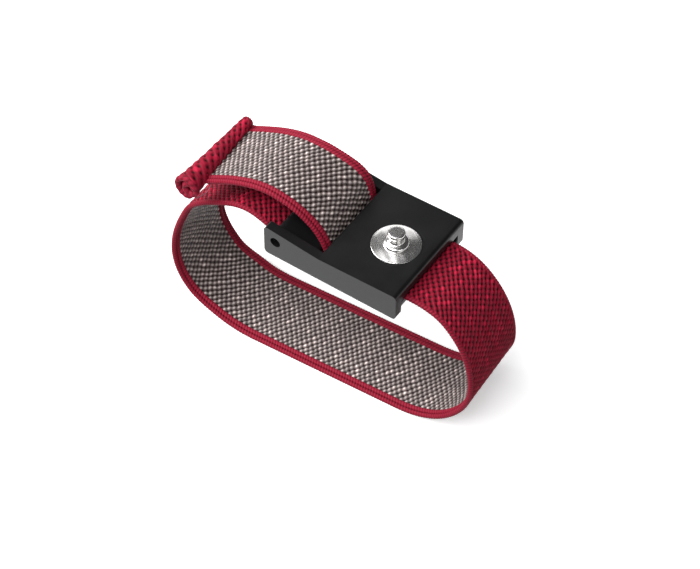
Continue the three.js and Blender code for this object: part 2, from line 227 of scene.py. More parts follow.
def face_out(piece):
    """Turns the faces of a closed mesh outwards."""
    mesh = bmesh.new()
    mesh.from_mesh(piece.data)
    bmesh.ops.recalc_face_normals(mesh, faces=mesh.faces)
    mesh.to_mesh(piece.data)
    mesh.free()


def extruded(name, outline, half_width):
    """A side view in X and Z, given a width along Y."""
    count = len(outline)
    points = [(x, y, z) for y in (-half_width, half_width) for x, z in outline]
    faces = [[i, (i + 1) % count, count + (i + 1) % count, count + i] for i in range(count)]
    faces += [list(range(count))[::-1], list(range(count, 2 * count))]
    piece = add_mesh(name, points, faces, smooth=False)
    face_out(piece)
    return piece


def block(name, low, high):
    """A box between two corners, to cut with."""
    outline = [(low[0], low[2]), (high[0], low[2]), (high[0], high[2]), (low[0], high[2])]
    piece = extruded(name, outline, (high[1] - low[1]) / 2)
    piece.data.transform(Matrix.Translation(ACROSS * MM * (high[1] + low[1]) / 2))
    return piece


def bake_modifiers(piece):
    """Makes the modified mesh the piece's own mesh."""
    graph = bpy.context.evaluated_depsgraph_get()
    piece.data = bpy.data.meshes.new_from_object(piece.evaluated_get(graph))
    piece.modifiers.clear()


def cut(piece, tools):
    """Cuts the tools out of the piece, and removes them."""
    for tool in tools:
        modifier = piece.modifiers.new("cut", "BOOLEAN")
        modifier.operation = "DIFFERENCE"
        modifier.solver = "EXACT"
        modifier.object = tool
    bpy.context.view_layer.update()
    bake_modifiers(piece)
    for tool in tools:
        bpy.data.objects.remove(tool)


def round_edges(piece, width, segments):
    """Rounds the edges that turn more than 35 degrees, and shades the faces smoothly between them."""
    modifier = piece.modifiers.new("round", "BEVEL")
    modifier.width = width * MM
    modifier.segments = segments
    modifier.limit_method = "ANGLE"
    modifier.angle_limit = math.radians(35)
    modifier.harden_normals = True
    piece.data.polygons.foreach_set("use_smooth", [True] * len(piece.data.polygons))


def rounded(corners, radius):
    """An outline through corners, each rounded by a circle's arc."""
    outline, steps = [], 6
    for i, corner in enumerate(corners):
        here = Vector(corner)
        before = (Vector(corners[i - 1]) - here).normalized()
        after = (Vector(corners[(i + 1) % len(corners)]) - here).normalized()
        half = before.angle(after) / 2
        middle = here + (before + after).normalized() * radius / math.sin(half)
        start = here + before * radius / math.tan(half) - middle
        end = here + after * radius / math.tan(half) - middle
        for step in range(steps + 1):
            outline.append(tuple(middle + start.slerp(end, step / steps)))
    return outline


def arc(x, z, radius, angles):
    """The points of a circle in X and Z at some angles."""
    return [(x + radius * math.cos(a), z + radius * math.sin(a)) for a in angles]


def pin_drill(name, half_width):
    """A round bar along the pin, to cut its hole with."""
    angles = np.linspace(0, 2 * math.pi, 48, endpoint=False)
    return extruded(name, arc(PIN_X, PIN_Z, PIN_BORE, angles), half_width)


def smooth_profile(points):
    """A Catmull-Rom curve through (radius, height) pairs. A pair given twice stays a corner."""
    made, steps = [], 5
    padded = [points[0], *points, points[-1]]
    for a, b, c, d in zip(padded, padded[1:], padded[2:], padded[3:]):
        a, b, c, d = (np.array(p, float) for p in (a, b, c, d))
        if np.allclose(b, c):
            continue
        if np.allclose(a, b):
            a = 2 * b - c
        if np.allclose(c, d):
            d = 2 * c - b
        for t in np.arange(steps) / steps:
            straight = 2 * b + (c - a) * t
            bend = (2 * a - 5 * b + 4 * c - d) * t ** 2 + (3 * b - a - 3 * c + d) * t ** 3
            made.append(0.5 * (straight + bend))
    made.append(np.array(points[-1], float))
    return [(max(p[0], 0.0), p[1]) for p in made]


# ---- the band's route ---------------------------------------------------------------------------

def arc_between(first, second):
    """x, z, heading and roll between two stations, on the cubic curve that the CAD source uses."""
    x0, z0, from_deg, from_roll = first
    x1, z1, to_deg, to_roll = second
    a, b = math.radians(from_deg), math.radians(to_deg)
    handle = math.hypot(x1 - x0, z1 - z0) / (3 * math.cos((b - a) / 4) ** 2)
    corners = np.array([
        (x0, z0),
        (x0 + handle * math.cos(a), z0 + handle * math.sin(a)),
        (x1 - handle * math.cos(b), z1 - handle * math.sin(b)),
        (x1, z1),
    ])
    t = np.linspace(0, 1, 160)[:, None]
    point = sum(
        weight * corner
        for weight, corner in zip(((1 - t) ** 3, 3 * t * (1 - t) ** 2, 3 * t * t * (1 - t), t ** 3), corners)
    )
    slope = 3 * (
        (1 - t) ** 2 * (corners[1] - corners[0])
        + 2 * t * (1 - t) * (corners[2] - corners[1])
        + t * t * (corners[3] - corners[2])
    )
    heading = np.unwrap(np.arctan2(slope[:, 1], slope[:, 0]))
    heading += 2 * math.pi * round((a - heading[0]) / (2 * math.pi))
    steps = np.hypot(*np.diff(point, axis=0).T)
    along = np.concatenate([[0], np.cumsum(steps)])
    share = along / along[-1]
    roll = from_roll + (to_roll - from_roll) * share * share * (3 - 2 * share)
    return along, np.column_stack([point, heading, np.radians(roll)])


def ease(share):
    """0 to 1, slow at both ends."""
    share = np.clip(share, 0, 1)
    return share * share * (3 - 2 * share)


class Route:
    """The band's middle surface, by length along it.

    slant shortens it towards the far edge, and drift moves it sideways, to nothing after a length along it.
    """

    def __init__(self, along, values, slant=0.0, drift=(0.0, 1.0)):
        self.along, self.values, self.length = along, values, along[-1]
        self.slant, self.drift = slant, drift

    def cut_short(self, along, across):
        """How far the slant moves a point back along the band."""
        return self.slant * (across + BAND_WIDTH / 2) * ease(along / self.length)

    def place(self, along, across, out):
        """Points at a length along, across the band, and out of its burgundy face."""
        along, across, out = np.broadcast_arrays(along, across, out)
        move, within = self.drift
        spread = DRIFT_SPREAD if move else 0.0
        across = across + (move + spread * across) * (1 - ease(along / within))
        along = along - self.cut_short(along, across)
        x, z, heading, roll = (np.interp(along, self.along, column) for column in self.values.T)
        zero = np.zeros_like(x)
        ahead = np.stack([np.cos(heading), zero, np.sin(heading)], axis=-1)
        sideways = np.stack([
            np.sin(heading) * np.sin(roll), np.cos(roll), -np.cos(heading) * np.sin(roll)
        ], axis=-1)
        outward = np.cross(ahead, sideways)
        return np.stack([x, zero, z], axis=-1) + sideways * across[..., None] + outward * out[..., None]


def through(stations, slant=0.0, drift=(0.0, 1.0)):
    """The route through some stations."""
    lengths, rows, total = [], [], 0.0
    for first, second in zip(stations, stations[1:]):
        along, values = arc_between(first, second)
        lengths.append(along + total)
        rows.append(values)
        total += along[-1]
    return Route(np.concatenate(lengths), np.concatenate(rows), slant, drift)


# The rolled end, in millimetres unless it says otherwise
ROLL_REACH, ROLL_LIFT = 1.5, 1.6    # the roll's axis, past the tail's end and above its middle surface
ROLL_SHIFT = -2.0               # of the roll along its own axis, towards the near edge
ROLL_SPREAD = 0.19              # how much wider than the band it is, as a share
ROLL_TILT = 0.062               # how far it climbs and swings back, for each millimetre towards its far end
ROLL_SWELL = 0.14               # how much thicker it is at its near end, as a share
WINDING_START = 2.2             # length over which the band changes into the roll
OUTER_TURNS = (1.62, 1.38, 15)  # of the spiral: first and last radius, and how many steps of 20 degrees
INNER_TURNS = (0.62, 0.45, 17)
TURN_PARTS = 6


class Curl(Route):
    """The rolled end: the band goes on from the tail's end, then turns up and over in a closing spiral."""

    def __init__(self, tail):
        x, z, heading, roll = tail.values[-1]
        step = math.radians(20)
        radii = [*np.linspace(*OUTER_TURNS), *np.linspace(*INNER_TURNS)]
        stretches = [(ROLL_REACH, 0.0)] + [(radius * step, -step) for radius in radii]
        rows, along = [(x, z, heading, roll)], [0.0]
        for length, turn in stretches:
            part, part_turn = length / TURN_PARTS, turn / TURN_PARTS
            for _ in range(TURN_PARTS):
                heading += part_turn
                x += math.cos(heading - part_turn / 2) * part
                z += math.sin(heading - part_turn / 2) * part
                rows.append((x, z, heading, roll))
                along.append(along[-1] + part)
        super().__init__(np.array(along), np.array(rows))
        self.heading, self.tail_slant = tail.values[-1][2], tail.slant
        ahead = np.array([math.cos(self.heading), math.sin(self.heading)])
        self.axis = tail.values[-1][:2] + ahead * ROLL_REACH + np.array([ahead[1], -ahead[0]]) * ROLL_LIFT

    def place(self, along, across, out):
        """As a band's, but spread and shifted along the roll, swollen at its near end, and slanted."""
        along, across, out = np.broadcast_arrays(along, across, out)
        wound = ease(along / WINDING_START)
        points = super().place(along, across * (1 + ROLL_SPREAD * wound) + ROLL_SHIFT * wound, out)
        near = np.clip(-across / (BAND_WIDTH / 2), 0, 1)
        swell = ROLL_SWELL * near ** 2 + 0.02 * np.sin(across * 1.1)
        points[..., ::2] += (points[..., ::2] - self.axis) * (swell * wound)[..., None]
        back = self.tail_slant * (points[..., 1] + BAND_WIDTH / 2)
        points[..., 0] -= back * math.cos(self.heading)
        points[..., 2] -= back * math.sin(self.heading)
        points[..., 0] -= ROLL_TILT * points[..., 1] * wound
        points[..., 2] += ROLL_TILT * points[..., 1] * wound
        return points


# ---- the knit -----------------------------------------------------------------------------------

STITCH, ROW = 1.5, 0.92         # from one bump to the next along the band, and from row to row
GREY_HALF = 8.5 * ROW           # half the width of the grey face, 17 rows
RED_HALF = 10 * ROW             # half the width of the burgundy face, 20 rows
SAMPLES_ALONG, SAMPLES_ACROSS = 8, 4
KNIT_DEPTH = 0.46               # from the tops of the stitches to the pits between them
FACE_BACK = 0.03                # how far each face's back lies from the band's middle surface
GREY_SHARP = 0.65               # the grey stitches are narrow, the burgundy ones broad
TABLE = np.random.default_rng(7).random((64, 64))


def nearest_bump(along, across):
    """A random number for each bump of the lattice, at the points that belong to it."""
    a, b = along / (STITCH / 2), across / ROW
    first, second = np.rint((a + b) / 2).astype(int), np.rint((a - b) / 2).astype(int)
    return TABLE[first % 64, second % 64]


def knit_height(along, across, sharp):
    """0 in the pits between the bumps and 1 on the bumps of the staggered lattice.

    A higher sharp makes the pits narrower.
    """
    wander = 0.10 * np.sin(along * 0.9 + across * 0.4) + 0.06 * np.sin(across * 2.3 - along * 0.35)
    first, second = 2 * math.pi * (along + wander) / STITCH, math.pi * (across + 0.5 * wander) / ROW
    wave = 0.62 * np.cos(first + second) + 0.38 * np.cos(first - second)
    return 1 - ((1 - wave) / 2) ** sharp


def lengths_along(route):
    """Lengths along a route, close enough together to show its stitches, as a column."""
    steps = max(2, math.ceil(route.length / (STITCH / SAMPLES_ALONG)))
    return np.linspace(0, route.length, steps + 1)[:, None]


def knit_face(name, route, half, side, sharp, offset, crest_scale=1.0):
    """One face of the band as a slab from its middle: side 1 is the burgundy face, -1 the grey one.

    offset is the length of band before the route. The last argument scales the crest number down, which makes the
    tops of the stitches darker.
    """
    along = lengths_along(route)
    across = np.linspace(-half, half, round(2 * half / ROW * SAMPLES_ACROSS) + 1)[None, :]
    height = knit_height(along + offset, across, sharp)
    tone = nearest_bump(along + offset, across)
    out = BAND_THICKNESS / 2 - KNIT_DEPTH * (1 - height) - 0.05 * tone
    face = route.place(along, across, side * out)
    back = FACE_BACK * side
    rings = np.concatenate([
        face,
        route.place(along, np.array([[half]]), back),
        route.place(along, np.array([[-half]]), back),
    ], axis=1)
    piece = sweep(name, rings)
    ring_across = np.concatenate([across.ravel(), [half, -half]])
    uv = np.stack(np.broadcast_arrays((along + offset) / 10, ring_across[None, :] / 10), axis=-1)
    set_uv(piece, uv.reshape(-1, 2))
    edge = np.zeros((len(along), 2))
    set_floats(piece, "crest", np.concatenate([crest_scale * height, edge], axis=1))
    set_floats(piece, "tone", np.concatenate([tone, edge], axis=1))
    return piece


def rib(name, route, middle, size, corners, offset, dent):
    """A round rib along the band: middle and size are (across, out) pairs. Its stitches stand proud.

    dent is how much thinner it is between two stitches, as a share of its size.
    """
    along = lengths_along(route)
    angle = np.linspace(0, 2 * math.pi, corners, endpoint=False)[None, :]
    lay = 2 * math.pi * (along + offset) / (STITCH / 2)
    stitch = 0.5 + 0.5 * np.cos(lay + np.copysign(1, middle[0]) * 1.6 * np.cos(angle))
    scale = 1 - dent * (1 - stitch)
    rings = route.place(
        along,
        middle[0] + size[0] * scale * np.cos(angle),
        middle[1] + size[1] * scale * np.sin(angle),
    )
    piece = sweep(name, rings)
    uv = np.stack(np.broadcast_arrays((along + offset) / 10, angle / 10), axis=-1)
    set_uv(piece, uv.reshape(-1, 2))
    set_floats(piece, "crest", stitch)
    set_floats(piece, "tone", np.broadcast_to(0.5, stitch.shape))
    return piece


def joined(pieces, name):
    """Several meshes as one piece."""
    with bpy.context.temp_override(active_object=pieces[0], selected_editable_objects=pieces):
        bpy.ops.object.join()
    pieces[0].name = pieces[0].data.name = name
    return pieces[0]


OUTER_RIB_ACROSS, OUTER_RIB_SIZE = 9.31, (0.59, 0.66)
INNER_RIB_ACROSS, INNER_RIB_OUT, INNER_RIB_SIZE = 8.22, -0.36, (0.64, 0.44)
INNER_RIB_LAG = 0.35            # how far its stitches lie past the outer rib's


def selvedge(name, route, side, offset):
    """One edge of the band: a rib round the edge and a flatter one beside it on the grey face."""
    outer = rib(name, route, (side * OUTER_RIB_ACROSS, 0), OUTER_RIB_SIZE, 16, offset, dent=0.15)
    inner_middle = (side * INNER_RIB_ACROSS, INNER_RIB_OUT)
    inner = rib(name + "_b", route, inner_middle, INNER_RIB_SIZE, 12, offset + INNER_RIB_LAG, dent=0.2)
    return joined([outer, inner], name)


# ---- materials ----------------------------------------------------------------------------------

def material(name, **values):
    """A principled material, its shader's own sockets set by name."""
    made = bpy.data.materials.new(name)
    made.use_nodes = True
    shader = made.node_tree.nodes["Principled BSDF"]
    for socket, value in values.items():
        shader.inputs[socket.replace("_", " ")].default_value = value
    return made


def node(made, kind, links=(), **settings):
    """A node with its settings, and its inputs linked or set by name."""
    new = made.node_tree.nodes.new(kind)
    for key, value in settings.items():
        setattr(new, key, value)
    for key, source in dict(links).items():
        if isinstance(source, bpy.types.NodeSocket):
            made.node_tree.links.new(source, new.inputs[key])
        else:
            new.inputs[key].default_value = source
    return new


def feed(made, socket, source):
    """Links a node's output into the shader."""
    made.node_tree.links.new(source, made.node_tree.nodes["Principled BSDF"].inputs[socket])


def ramp(made, source, stops):
    """A colour ramp over a number: stops are (position, colour) pairs."""
    new = node(made, "ShaderNodeValToRGB", {"Fac": source})
    elements = new.color_ramp.elements
    while len(elements) < len(stops):
        elements.new(0.5)
    for element, (position, colour) in zip(elements, stops):
        element.position = position
        element.color = (*colour, 1)
    return new.outputs["Color"]


def knit_material(name, stops, sheen_colour, roughness, sheen, gloss, metal=0.0):
    """Yarn: stops colour it from the pits to the crests, and their near-black pits are painted shade. Its sheen
    has its own tint, and the brightest few bumps are lightened as painted glints.
    """
    made = material(
        name, Metallic=metal, Sheen_Weight=sheen, Sheen_Roughness=0.45, Sheen_Tint=(*sheen_colour, 1), IOR=1.45,
        Specular_IOR_Level=gloss,
    )
    crest = node(made, "ShaderNodeAttribute", attribute_name="crest").outputs["Fac"]
    tone = node(made, "ShaderNodeAttribute", attribute_name="tone").outputs["Fac"]
    place = node(made, "ShaderNodeUVMap", uv_map="cloth").outputs["UV"]
    filaments = node(made, "ShaderNodeTexWave", {
        "Vector": place, "Scale": 9.0, "Distortion": 1.6, "Detail": 2.0, "Detail Scale": 3.0,
    }, wave_type="BANDS", bands_direction="DIAGONAL").outputs["Fac"]
    fuzz = node(made, "ShaderNodeTexNoise", {"Vector": place, "Scale": 42.0, "Detail": 3.0}).outputs["Fac"]
    # The crest ramp darkens the pits between the stitches towards black: painted shade, over the relief that the
    # mesh already has.
    base = ramp(made, crest, stops)
    # Painted glints: tone to the ninth power, times 0.7 below, lightens the brightest few bumps far more than
    # their own random tone does.
    painted_glint = node(made, "ShaderNodeMath", {0: tone, 1: 9.0}, operation="POWER").outputs["Value"]
    even = node(made, "ShaderNodeMapRange", {"Value": tone, "To Min": 0.76, "To Max": 1.10})
    tone_and_painted_glint = node(made, "ShaderNodeMath", {
        0: painted_glint, 1: 0.7, 2: even.outputs["Result"],
    }, operation="MULTIPLY_ADD")
    mottle = node(made, "ShaderNodeMapRange", {"Value": fuzz, "To Min": 0.72, "To Max": 1.28})
    light = node(made, "ShaderNodeMath", {
        0: tone_and_painted_glint.outputs["Value"], 1: mottle.outputs["Result"],
    }, operation="MULTIPLY")
    toned = node(made, "ShaderNodeMix", {
        "Factor": 1.0, "A": base, "B": light.outputs["Value"],
    }, data_type="RGBA", blend_type="MULTIPLY")
    feed(made, "Base Color", toned.outputs[2])
    rough = node(made, "ShaderNodeMapRange", {
        "Value": filaments, "To Min": roughness - 0.1, "To Max": roughness + 0.08,
    }).outputs["Result"]
    feed(made, "Roughness", rough)
    bump = node(made, "ShaderNodeBump", {"Height": filaments, "Strength": 0.35, "Distance": 0.00006})
    finer = node(made, "ShaderNodeBump", {
        "Height": fuzz, "Strength": 0.3, "Distance": 0.00005, "Normal": bump.outputs["Normal"],
    })
    feed(made, "Normal", finer.outputs["Normal"])
    return made


def own_place(made):
    """Positions on the piece itself, in metres."""
    return node(made, "ShaderNodeTexCoord").outputs["Object"]


def moulded_material():
    """Black moulded plastic: a fine satin grain, rubbed a little smoother in patches."""
    made = material("black_moulded_plastic", IOR=1.5, Specular_IOR_Level=0.27)
    place = own_place(made)
    grain = node(made, "ShaderNodeTexNoise", {"Vector": place, "Scale": 5200.0, "Detail": 2.0}).outputs["Fac"]
    patches = node(made, "ShaderNodeTexNoise", {"Vector": place, "Scale": 160.0, "Detail": 4.0})
    patches = patches.outputs["Fac"]
    blacks = [(0.3, (0.0045, 0.0045, 0.0048)), (0.7, (0.0065, 0.0065, 0.007))]
    feed(made, "Base Color", ramp(made, patches, blacks))
    rough = node(made, "ShaderNodeMapRange", {"Value": patches, "To Min": 0.28, "To Max": 0.38})
    feed(made, "Roughness", rough.outputs["Result"])
    bump = node(made, "ShaderNodeBump", {"Height": grain, "Strength": 0.25, "Distance": 0.00002})
    feed(made, "Normal", bump.outputs["Normal"])
    return made


def metal_material(name, light, dark, roughness, scratch):
    """Plated or brushed metal: slightly mottled, with fine scratches."""
    made = material(name, Metallic=1.0)
    place = own_place(made)
    clouds = node(made, "ShaderNodeTexNoise", {"Vector": place, "Scale": 160.0, "Detail": 1.0}).outputs["Fac"]
    stretched = node(made, "ShaderNodeMapping", {"Vector": place, "Scale": (900.0, 9000.0, 900.0)})
    lines = node(made, "ShaderNodeTexNoise", {
        "Vector": stretched.outputs["Vector"], "Scale": 1.0, "Detail": 3.0,
    }).outputs["Fac"]
    feed(made, "Base Color", ramp(made, clouds, [(0.3, dark), (0.65, light)]))
    rough = node(made, "ShaderNodeMapRange", {
        "Value": clouds, "To Min": roughness - 0.04, "To Max": roughness + 0.05,
    }).outputs["Result"]
    feed(made, "Roughness", rough)
    bump = node(made, "ShaderNodeBump", {"Height": lines, "Strength": scratch, "Distance": 0.00002})
    feed(made, "Normal", bump.outputs["Normal"])
    return made


def floor_material():
    """A plain pale floor, with the faintest unevenness."""
    made = material("pale_floor", Roughness=0.9, Emission_Color=(1, 1, 1, 1), Emission_Strength=0.45)
    clouds = node(made, "ShaderNodeTexNoise", {"Vector": own_place(made), "Scale": 3.0}).outputs["Fac"]
    feed(made, "Base Color", ramp(made, clouds, [(0.3, (0.86, 0.86, 0.86)), (0.7, (0.88, 0.88, 0.88))]))
    return made


# Each ramp below runs from the pits between the stitches, or between the thread's plies, up to the crests, and its
# dark low stops are painted shade. The grey yarn's pits also keep a burgundy tint, which is the burgundy yarn
# showing between its silver stitches.
BURGUNDY = knit_material(
    "burgundy_yarn",
    [(0.15, (0.022, 0.0006, 0.0022)), (0.55, (0.19, 0.0040, 0.0165)), (1.0, (0.38, 0.0105, 0.038))],
    (1.0, 0.3, 0.4), 0.66, 0.04, 0.18,
)
SILVER = knit_material(
    "conductive_yarn",
    [(0.06, (0.008, 0.0028, 0.0028)), (0.40, (0.125, 0.094, 0.088)), (0.90, (0.62, 0.54, 0.52))],
    (1.0, 0.96, 0.94), 0.38, 0.03, 0.4, 0.12,
)
EDGING = knit_material(
    "burgundy_edging",
    [(0.0, (0.13, 0.0026, 0.011)), (0.7, (0.33, 0.012, 0.037))],
    (1.0, 0.3, 0.4), 0.68, 0.06, 0.2,
)
THREAD = knit_material(
    "polyester_thread",
    [(0.0, (0.20, 0.04, 0.06)), (0.8, (0.55, 0.20, 0.24))],
    (1.0, 0.6, 0.65), 0.5, 0.05, 0.35,
)
PLASTIC = moulded_material()
NICKEL = metal_material("polished_nickel", (0.80, 0.79, 0.78), (0.62, 0.61, 0.60), 0.22, 0.0)
STEEL = metal_material("brushed_steel", (0.60, 0.60, 0.61), (0.46, 0.46, 0.47), 0.32, 0.35)


def finish_piece(piece, made, stands_for, body=None):
    """Gives a piece its material, and lets it ride on its body in place of a CAD node."""
    piece.data.materials.clear()
    piece.data.materials.append(made)
    if body:
        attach(piece, body)
    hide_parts(stands_for)
    return piece


# ---- camera, floor and light --------------------------------------------------------------------

CAMERA_TURN, CAMERA_RISE, CAMERA_ROLL = 33.82, 50.19, 0.645     # degrees, from the clasp's own axes
CAMERA_DISTANCE, CAMERA_RIGHT, CAMERA_DOWN = 500, 11.114, 20.604
CAMERA_LENS = 114.54            # millimetres, on a 36 mm wide sensor


def add_camera():
    """The camera stands half a metre from the clasp, 50 degrees above its top plate."""
    azimuth, elevation, roll = (math.radians(turn) for turn in (CAMERA_TURN, CAMERA_RISE, CAMERA_ROLL))
    back = Vector((
        math.sin(azimuth) * math.cos(elevation),
        -math.cos(azimuth) * math.cos(elevation),
        math.sin(elevation),
    ))
    right = Vector((math.cos(azimuth), math.sin(azimuth), 0))
    above = back.cross(right)
    turned_right = right * math.cos(roll) + above * math.sin(roll)
    turned_above = above * math.cos(roll) - right * math.sin(roll)
    place = turned_right * CAMERA_RIGHT - turned_above * CAMERA_DOWN + back * CAMERA_DISTANCE
    to_world = Matrix(AXES.T.tolist())
    camera = bpy.data.objects.new("camera", bpy.data.cameras.new("camera"))
    bpy.context.scene.collection.objects.link(camera)
    turn = Matrix([to_world @ turned_right, to_world @ turned_above, to_world @ back]).transposed()
    camera.matrix_world = Matrix.Translation(to_row(place)) @ turn.to_4x4()
    camera.data.sensor_width = 36
    camera.data.lens = CAMERA_LENS
    camera.data.clip_start, camera.data.clip_end = 0.01, 10
    bpy.context.scene.camera = camera


def add_floor():
    """A floor four metres square, which doesn't light the pieces on it."""
    mesh = bpy.data.meshes.new("floor")
    mesh.from_pydata([(-2, -2, 0), (2, -2, 0), (2, 2, 0), (-2, 2, 0)], [], [(0, 1, 2, 3)])
    floor = bpy.data.objects.new("floor", mesh)
    bpy.context.scene.collection.objects.link(floor)
    mesh.materials.append(floor_material())
    floor.visible_diffuse = False


def add_softbox(name, place, target, size, power, lights=True):
    """An area light, its place and target in metres. Without lights it only shows in reflections."""
    light = bpy.data.objects.new(name, bpy.data.lights.new(name, "AREA"))
    light.data.shape = "RECTANGLE"
    light.data.size, light.data.size_y = size
    light.data.energy = power
    light.location = place
    light.rotation_mode = "QUATERNION"
    light.rotation_quaternion = (Vector(place) - Vector(target)).to_track_quat("Z", "Y")
    light.visible_diffuse = lights
    bpy.context.scene.collection.objects.link(light)


def add_light():
    """Soft light from the left and above, with two cards that only the metal shows."""
    world = bpy.data.worlds.new("studio")
    world.use_nodes = True
    world.node_tree.nodes["Background"].inputs["Color"].default_value = (1, 1, 1, 1)
    world.node_tree.nodes["Background"].inputs["Strength"].default_value = 0.07
    bpy.context.scene.world = world
    middle = (0, 0, 0.02)
    add_softbox("key", (-0.75, -0.15, 0.85), middle, (0.8, 0.8), 18)
    add_softbox("overhead", (0.05, -0.5, 1.0), middle, (0.7, 0.7), 10)
    add_softbox("right", (0.95, -0.35, 0.6), middle, (0.7, 0.5), 2.5)
    add_softbox("card", (-0.2, 0.36, 1.0), middle, (0.22, 0.36), 0.6, lights=False)
    add_softbox("back", (-0.66, 1.0, 0.62), middle, (0.85, 0.4), 2.0, lights=False)
    view = bpy.context.scene.view_settings
    view.view_transform = "Standard"
    view.look = "None"


# ---- the clasp ----------------------------------------------------------------------------------

def add_shell():
    """The moulded housing: a top plate over a channel, and two walls round an open window."""
    outline = rounded([
        (0, EAR_RISE), (0, -SIDE_HEIGHT), (CLASP_LENGTH, -SIDE_HEIGHT), (CLASP_LENGTH, 0), (WINDOW_LENGTH, 0),
    ], 0.7)
    shell = extruded("clasp_shell", outline, CLASP_WIDTH / 2)
    past = 1
    low = -SIDE_HEIGHT - past
    pin_hole = pin_drill("pin_hole", CLASP_WIDTH / 2 + past)
    window = block("window", (-past, -INNER_HALF, low), (WINDOW_LENGTH, INNER_HALF, EAR_RISE + past))
    channel_end = (CLASP_LENGTH + past, INNER_HALF, -TOP_PLATE)
    channel = block("channel", (WINDOW_LENGTH - past, -INNER_HALF, low), channel_end)
    well_radius = FLANGE_RADIUS + 0.12
    well_profile = [(0, past), (well_radius, past), (well_radius, -FLANGE_RECESS), (0, -FLANGE_RECESS)]
    well = turned("well", well_profile, STUD_PLACE, 96)
    under_plate = -TOP_PLATE - past
    hole_profile = [(0, past), (RIVET_BORE, past), (RIVET_BORE, under_plate), (0, under_plate)]
    hole = turned("hole", hole_profile, STUD_PLACE, 48)
    cut(shell, [pin_hole, window, channel, well, hole])
    round_edges(shell, 0.22, 3)
    finish_piece(shell, PLASTIC, "clasp_housing", "clasp")


def add_lever():
    """The clamp lever: a barrel round the pin, a cam whose underside is toothed, and a rounded tip."""
    spread = math.hypot(TIP_X - PIN_X, TIP_Z - PIN_Z)
    slope = math.atan2(TIP_Z - PIN_Z, TIP_X - PIN_X)
    touch = math.acos((BARREL_RADIUS - LEVER_TIP_RADIUS) / spread)
    barrel_angles = np.linspace(slope + touch, slope - touch + 2 * math.pi, 40)
    outline = arc(PIN_X, PIN_Z, BARREL_RADIUS, barrel_angles)
    tip = arc(TIP_X, TIP_Z, LEVER_TIP_RADIUS, np.linspace(slope - touch, slope + touch, 20))
    start = np.array(outline[-1])
    stretch = np.array(tip[0]) - start
    teeth, tooth_depth = 7, 0.28
    for i in range(teeth):
        for share, depth in ((0.15, 0.0), (0.5, tooth_depth), (0.85, 0.0)):
            x, z = start + stretch * (0.3 + 0.68 * (i + share) / teeth)
            outline.append((x, z + depth))
    lever = extruded("lever", outline + tip, INNER_HALF - FACE_GAP)
    cut(lever, [pin_drill("lever_hole", INNER_HALF + 1)])
    round_edges(lever, 0.12, 2)
    finish_piece(lever, PLASTIC, "clamp_lever", "lever")


def add_pin():
    """The hinge pin, hollow and chamfered at both ends."""
    half = CLASP_WIDTH / 2 - PIN_RECESS
    bore, depth = 0.85, 3
    profile = [(0, depth - half), (bore, depth - half), (bore, 0.1 - half)]
    profile += [(bore + 0.1, -half), (PIN_RADIUS, 0.25 - half)]
    profile += [(radius, -height) for radius, height in reversed(profile)]
    pin = turned("pivot_pin", profile, (0, 0), 64)
    pin.data.transform(Matrix.Translation(-ORIGIN))
    lay_down = Matrix(AXES.T.tolist()) @ Matrix.Rotation(math.pi / 2, 3, "X") @ Matrix(AXES.tolist())
    pin.data.transform(Matrix.Translation(Vector(to_row((PIN_X, 0, PIN_Z)))) @ lay_down.to_4x4())
    finish_piece(pin, STEEL, "hinge_pin", "clasp")


def add_snap():
    """The pressed flange and the stud."""
    bottom = FACE_GAP - FLANGE_RECESS
    top = bottom + FLANGE_THICKNESS
    rim, crown = FLANGE_RADIUS, 0.24
    flange_profile = smooth_profile([
        (RIVET_BORE, bottom), (RIVET_BORE, bottom), (rim - 0.15, bottom), (rim - 0.15, bottom),
        (rim - 0.03, bottom + 0.08), (rim, bottom + 0.22), (rim - 0.03, top - 0.16), (rim - 0.15, top - 0.1),
        (5.4, top - 0.07), (5.0, top), (4.4, top + 0.08), (3.8, top + 0.15), (3.3, top + 0.2),
        (STUD_BASE_RADIUS, top + crown), (STUD_BASE_RADIUS, top + crown),
        (RIVET_BORE, top), (RIVET_BORE, top),
    ])
    flange_profile.append((RIVET_BORE, bottom))
    flange = turned("stud_flange", flange_profile, STUD_PLACE, 128, wavy=0.018)
    finish_piece(flange, NICKEL, "snap_flange", "clasp")
    base = top + FACE_GAP
    head = base + STUD_HEIGHT
    widest, foot = STUD_HEAD_RADIUS, STUD_BASE_RADIUS
    stud_profile = smooth_profile([
        (0, head), (1.62, head), (1.62, head), (1.84, head - 0.06), (widest - 0.04, head - 0.25),
        (widest, head - 0.6), (widest - 0.02, head - 0.95), (1.86, head - 1.25), (1.75, head - 1.5),
        (1.72, head - 1.8), (1.76, base + 1.15), (1.98, base + 0.92), (2.4, base + 0.78), (2.75, base + 0.6),
        (foot - 0.02, base + 0.3), (foot, base), (foot, base), (RIVET_BORE, base), (RIVET_BORE, base),
        (RIVET_BORE, head - 0.8), (RIVET_BORE, head - 0.8), (RIVET_BORE - 0.3, head - 0.5), (0, head - 0.5),
    ])
    stud = turned("snap_post", stud_profile, STUD_PLACE, 96)
    finish_piece(stud, NICKEL, "snap_stud", "clasp")


def dress(name, made, width):
    """A CAD node that keeps its shape: its edges are rounded, and it gets its material."""
    piece = frame["nodes"][name]
    round_edges(piece, width, 2)
    piece.data.materials.clear()
    piece.data.materials.append(made)


# ---- the band -----------------------------------------------------------------------------------

